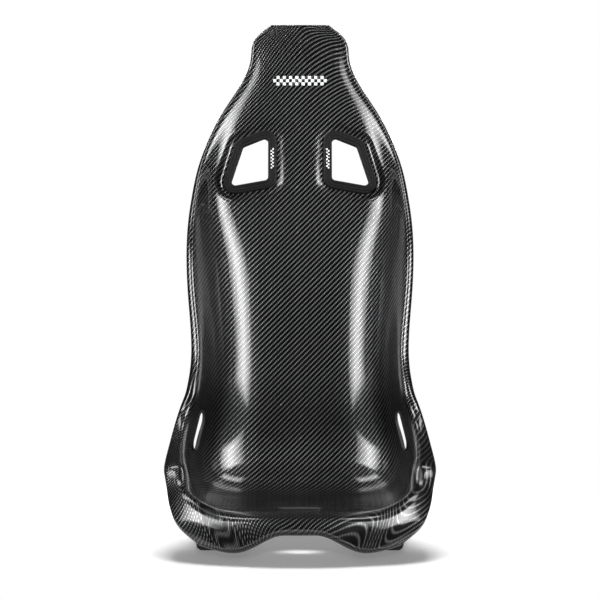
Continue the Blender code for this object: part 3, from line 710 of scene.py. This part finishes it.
def make_shell(finish):
    """The laminate shell, fine enough for its true curves."""
    points, faces, cloth = shell_sheet()
    mesh = bpy.data.meshes.new("shell_sheet")
    mesh.from_pydata(points.tolist(), [], faces)
    corners = np.zeros(len(mesh.loops), int)
    mesh.loops.foreach_get("vertex_index", corners)
    layer = mesh.uv_layers.new(name="cloth")
    layer.uv.foreach_set("vector", cloth[corners].astype(np.float32).ravel())
    sheet = bpy.data.objects.new("shell_sheet", mesh)
    cutter = shell_holes()
    for item in (sheet, cutter):
        bpy.context.scene.collection.objects.link(item)
    solid = sheet.modifiers.new("laminate", "SOLIDIFY")
    solid.thickness = WALL
    solid.offset = -1.0
    solid.use_even_offset = True
    boolean = sheet.modifiers.new("holes", "BOOLEAN")
    boolean.operation = "DIFFERENCE"
    boolean.solver = "EXACT"
    boolean.object = cutter
    graph = bpy.context.evaluated_depsgraph_get()
    final = bpy.data.meshes.new_from_object(sheet.evaluated_get(graph))
    for item in (sheet, cutter):
        bpy.data.objects.remove(item, do_unlink=True)
    new_piece("carbon_shell", final, finish, "seat_shell", "carbon")


def mm_section(*points):
    """A section's (grown by, height) points, from millimetres to metres."""
    return [(offset * MM, height * MM) for offset, height in points]


def make_belt_frame(label, side, finish):
    """Moulded frame with rounded lands and two grooves round the belt hole."""
    depth = COLLAR_DEPTH / MM
    band = FRAME_BAND / MM
    wall = COLLAR_WALL / MM
    section = mm_section(
        (0, -depth), *FRAME_FACE, (band, FRAME_UNDERSIDE), (wall, FRAME_UNDERSIDE),
        (wall, -depth))
    mesh = swept_mesh(f"{label}_frame", belt_outline, section, belt_matrix(side))
    new_piece(f"{label}_frame_moulding", mesh, finish, f"{label}_belt_frame",
              "frame_plastic")


def make_clamp_ring(label, side, finish):
    """Ring behind the laminate, with a rounded outer edge."""
    top = -(WALL + SEAT_GAP) / MM
    section = mm_section(*((offset, top - depth) for offset, depth in RING_SECTION))
    mesh = swept_mesh(f"{label}_ring", belt_outline, section, belt_matrix(side))
    new_piece(f"{label}_clamp_ring", mesh, finish, f"{label}_belt_clamp_ring",
              "frame_plastic")


def make_slot_trims(rubber):
    """Rubber collars in the lap slots, and one with a lip in the crotch slot."""
    low = -(WALL + TRIM_PROUD) / MM
    proud = TRIM_PROUD / MM
    wall = TRIM_WALL / MM
    section = mm_section(
        (-wall, low + 0.6), (-wall, proud - 0.8), (0.3 - wall, proud - 0.2),
        (0.9 - wall, proud), (-0.5, proud), (-0.1, proud - 0.3), (0, proud - 0.8),
        (0, low + 0.8), (-0.1, low + 0.2), (-0.5, low), (0.9 - wall, low),
        (0.3 - wall, low + 0.2))
    for label, side in SIDES:
        mesh = swept_mesh(f"{label}_lap_trim", lap_outline, section, lap_matrix(side))
        new_piece(f"{label}_lap_slot_grommet", mesh, rubber, f"{label}_lap_slot_trim",
                  "trim_rubber")
    lift = LIP_UNDERSIDE
    lip = TRIM_LIP / MM
    section = mm_section(
        (-wall, low), (-wall, lift + 1.0), (0.4 - wall, lift + 1.6), (1.2 - wall, lift + 1.8),
        (lip - 1.4, lift + 1.8), (lip - 0.5, lift + 1.5), (lip, lift + 0.7), (lip, lift),
        (0, lift), (0, low))
    mesh = swept_mesh("crotch_trim", crotch_outline, section, crotch_matrix())
    new_piece("crotch_slot_grommet", mesh, rubber, "crotch_slot_trim", "trim_rubber")


def finish_cad_node(name, finish):
    """Give a CAD node that stays visible its finish."""
    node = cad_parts[name]
    node.data.materials.clear()
    node.data.materials.append(finish)


# ---------------------------------------------------------- studio and camera

# Each light has a place, a target, a size across and up, and a power in watts.
# The places of the pairs are for side 1 and are mirrored for side -1.
STRIP_PLACE = (1.75, -1.35, 1.52)
STRIP_TARGET = (0, 0.15, 0.85)
STRIP_SIZE = (1.6, 1.65)
STRIP_POWERS = ((1, 78), (-1, 68))
TOP_PLACE = (1.2, -0.1, 2.6)
TOP_TARGET = (0, -0.05, 0.2)
TOP_SIZE = (0.8, 1.3)
TOP_POWER = 16
REAR_LIGHT = ((0, 2.7, 0.8), (0, 0.2, 0.5), (0.9, 1.3), 60)
SKY_LIGHT = ((0, 0.9, 2.5), (0, -0.1, 0), (1.3, 1.3), 105)
PRINT_FILL = ((0, -3.2, 1.5), (0, 0.26, 0.80), (0.8, 0.8), 5)
PRINT_FILL_SPREAD = math.radians(26)
# A soft box is a stack of lights: their widths as shares of the whole, how much
# of the height shrinks with them, and how far they stand in front of the place.
SOFT_STEPS = (0.25, 0.5, 0.75, 1.0)
SOFT_SHRINK = 0.3
SOFT_FRONT = 0.03
SOFT_APART = 0.01


def aim(item, target):
    """Turn a light towards a point."""
    direction = Vector(target) - item.location
    item.rotation_euler = direction.to_track_quat("-Z", "Y").to_euler()


def area_light(name, place, target, size, power):
    """A rectangular light that the camera does not see."""
    light = bpy.data.lights.new(name, "AREA")
    light.shape = "RECTANGLE"
    light.size, light.size_y = size
    light.energy = power
    item = bpy.data.objects.new(name, light)
    item.location = place
    bpy.context.scene.collection.objects.link(item)
    aim(item, target)
    item.visible_camera = False
    return item


def soft_box(name, place, target, size, power):
    """Nested area lights, so that the box is brightest along its middle."""
    direction = (Vector(target) - Vector(place)).normalized()
    for step, share in enumerate(SOFT_STEPS):
        ahead = direction * (SOFT_FRONT - SOFT_APART * step)
        height = size[1] * (1 - SOFT_SHRINK + SOFT_SHRINK * share)
        item = area_light(f"{name}_{step}", Vector(place) + ahead, target,
                          (size[0] * share, height), power * share / sum(SOFT_STEPS))
        item.visible_diffuse = False


def make_lights():
    """Soft boxes on both sides, overhead and a light behind, seen only in the
    gloss; a sky and a narrow fill on the printed strips, seen only in dull
    surfaces."""
    for side, power in STRIP_POWERS:
        soft_box(f"strip_{side:+d}", (side * STRIP_PLACE[0], *STRIP_PLACE[1:]), STRIP_TARGET,
                 STRIP_SIZE, power)
        soft_box(f"top_{side:+d}", (side * TOP_PLACE[0], *TOP_PLACE[1:]), TOP_TARGET,
                 TOP_SIZE, TOP_POWER)
    rear = area_light("rear", *REAR_LIGHT)
    rear.visible_diffuse = False
    sky = area_light("sky", *SKY_LIGHT)
    sky.visible_glossy = False
    fill = area_light("print_fill", *PRINT_FILL)
    fill.visible_glossy = False
    fill.data.spread = PRINT_FILL_SPREAD


ROOM_GREY = 0.02


def make_world():
    """White to the camera, dim grey to everything that the seat reflects."""
    world = bpy.data.worlds.new("studio")
    world.use_nodes = True
    bpy.context.scene.world = world
    nodes = Nodes(world.node_tree)
    seen = nodes.add("ShaderNodeLightPath").outputs["Is Camera Ray"]
    back = world.node_tree.nodes["Background"]
    nodes.put(nodes.colour(seen, grey(ROOM_GREY), grey(1.0)), back.inputs["Color"])


FLOOR_RADIUS = 1.6
FLOOR_DROP = 0.2 * MM
FLOOR_GREYS = (0.88, 0.92)
FLOOR_GLOW = 0.22
FLOOR_FADE = (0.42, 0.78)    # distances from the middle where fading starts and ends


def make_floor():
    """A pale round floor that fades out into the white room."""
    mesh = bpy.data.meshes.new("floor")
    bm = bmesh.new()
    bmesh.ops.create_circle(bm, cap_ends=True, segments=96, radius=FLOOR_RADIUS)
    bm.to_mesh(mesh)
    bm.free()
    floor = bpy.data.objects.new("floor", mesh)
    floor.location.z = -FLOOR_DROP
    bpy.context.scene.collection.objects.link(floor)
    made, nodes, shader = new_material("pale_floor")
    place = nodes.add("ShaderNodeTexCoord").outputs["Object"]
    cloud = nodes.noise(place, 3.0)
    nodes.put(nodes.colour(cloud, *map(grey, FLOOR_GREYS)), shader.inputs["Base Color"])
    shader.inputs["Roughness"].default_value = 0.9
    shader.inputs["Specular IOR Level"].default_value = 0.1
    shader.inputs["Emission Color"].default_value = grey(1.0)
    shader.inputs["Emission Strength"].default_value = FLOOR_GLOW
    away = nodes.add("ShaderNodeVectorMath", operation="LENGTH")
    nodes.put(place, away.inputs[0])
    fade = nodes.add("ShaderNodeMapRange", interpolation_type="SMOOTHERSTEP")
    nodes.put(away.outputs["Value"], fade.inputs["Value"])
    for name, value in (("From Min", FLOOR_FADE[0]), ("From Max", FLOOR_FADE[1]),
                        ("To Min", 1.0), ("To Max", 0.0)):
        fade.inputs[name].default_value = value
    nodes.put(fade.outputs["Result"], shader.inputs["Alpha"])
    mesh.materials.append(made)


LENS_LENGTH = 110.7          # millimetres, as is the sensor's width
SENSOR_WIDTH = 36.0
CAMERA_PLACE = (0.0, -3.275, 0.60)
CAMERA_DIP = 3.12            # degrees below level


def make_camera():
    """A long lens before the seat's front, looking slightly down at it."""
    lens = bpy.data.cameras.new("camera")
    lens.lens = LENS_LENGTH
    lens.sensor_width = SENSOR_WIDTH
    camera = bpy.data.objects.new("camera", lens)
    camera.location = CAMERA_PLACE
    camera.rotation_euler = (math.radians(90 - CAMERA_DIP), 0.0, 0.0)
    bpy.context.scene.collection.objects.link(camera)
    bpy.context.scene.camera = camera


def dress():
    """Every visible piece with its finish."""
    plastic = grained_material(
        "moulded_plastic", dark=grey(0.002), light=grey(0.005), rough=(0.48, 0.62),
        grain=900.0, depth=0.06 * MM, strip=FRAME_STRIP, shine=0.2)
    rubber = grained_material(
        "rubber", dark=grey(0.014), light=grey(0.024), rough=(0.6, 0.8),
        grain=700.0, depth=0.05 * MM)
    base = grained_material(
        "base_composite", dark=grey(0.010), light=grey(0.022), rough=(0.45, 0.62),
        grain=520.0, depth=0.10 * MM)
    aluminium = grained_material(
        "brushed_aluminium", dark=grey(0.50), light=(0.60, 0.61, 0.63, 1),
        rough=(0.28, 0.44), grain=420.0, depth=0.02 * MM, metallic=1.0,
        stretch=(1.0, 0.03, 1.0))
    zinc = grained_material(
        "zinc_plate", dark=(0.52, 0.52, 0.50, 1), light=(0.66, 0.66, 0.62, 1),
        rough=(0.25, 0.42), grain=300.0, depth=0.02 * MM, metallic=1.0)
    black = grained_material(
        "black_steel", dark=grey(0.020), light=grey(0.045), rough=(0.3, 0.45),
        grain=600.0, depth=0.02 * MM, metallic=0.8)
    make_shell(carbon_material())
    for label, side in SIDES:
        make_belt_frame(label, side, plastic)
        make_clamp_ring(label, side, plastic)
        for number in range(1, 5):
            finish_cad_node(f"{label}_belt_screw_{number}", black)
        finish_cad_node(f"{label}_base_runner", base)
        finish_cad_node(f"{label}_mount_strip", aluminium)
        for end in ("front", "rear"):
            finish_cad_node(f"{label}_{end}_mount_bush", zinc)
    make_slot_trims(rubber)
    finish_cad_node("approval_plate", aluminium)


bpy.context.scene.view_settings.view_transform = "Standard"
make_camera()
dress()
make_floor()
make_lights()
make_world()

bpy.context.view_layer.update()
